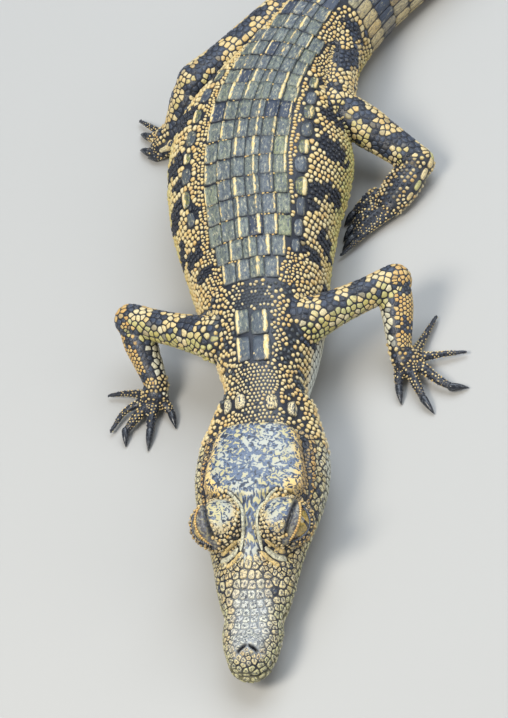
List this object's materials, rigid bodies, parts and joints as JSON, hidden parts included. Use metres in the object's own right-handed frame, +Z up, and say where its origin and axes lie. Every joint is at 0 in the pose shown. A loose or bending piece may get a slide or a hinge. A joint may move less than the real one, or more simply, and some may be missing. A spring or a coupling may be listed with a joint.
{
  "type": "young nile crocodile, still model",
  "caption": "Life-size young Nile crocodile lying on its belly, head low, one hind leg folded and the tail curved; a still display model with claws and eyes as own pieces.",
  "frame": {"origin": "on the flat of the belly at mid-trunk, at floor level", "axes": "-Y towards the snout, +Y towards the tail, +X to the animal's left, +Z up"},
  "size_m": [0.1354, 0.4124, 0.0312],
  "materials": {
    "skin": "small glossy scales, cream-yellow on blue-black skin",
    "scales": "keeled horny plates, grey-green with cream-yellow keels",
    "claws": "glossy black horn",
    "eyes": "wet olive-gold eyeball with a slit pupil",
    "teeth": "ivory"
  },
  "bodies": {
    "root": {"head": "skin", "lower_jaw": "skin", "neck": "skin", "upper_arm_left": "skin", "forearm_left": "skin", "hand_left": "skin", "upper_arm_right": "skin", "forearm_right": "skin", "hand_right": "skin", "thigh_left": "skin", "shank_left": "skin", "foot_left": "skin", "thigh_right": "skin", "shank_right": "skin", "foot_right": "skin", "trunk": "scales", "tail_base": "scales", "tail_middle": "scales", "tail_rear": "scales", "tail_tip": "scales", "claw_hand_left_1": "claws", "claw_hand_left_2": "claws", "claw_hand_left_3": "claws", "claw_hand_right_1": "claws", "claw_hand_right_2": "claws", "claw_hand_right_3": "claws", "claw_foot_left_1": "claws", "claw_foot_left_2": "claws", "claw_foot_left_3": "claws", "claw_foot_right_1": "claws", "claw_foot_right_2": "claws", "claw_foot_right_3": "claws", "eye_left": "eyes", "eye_right": "eyes"}
  },
  "joints": []
}
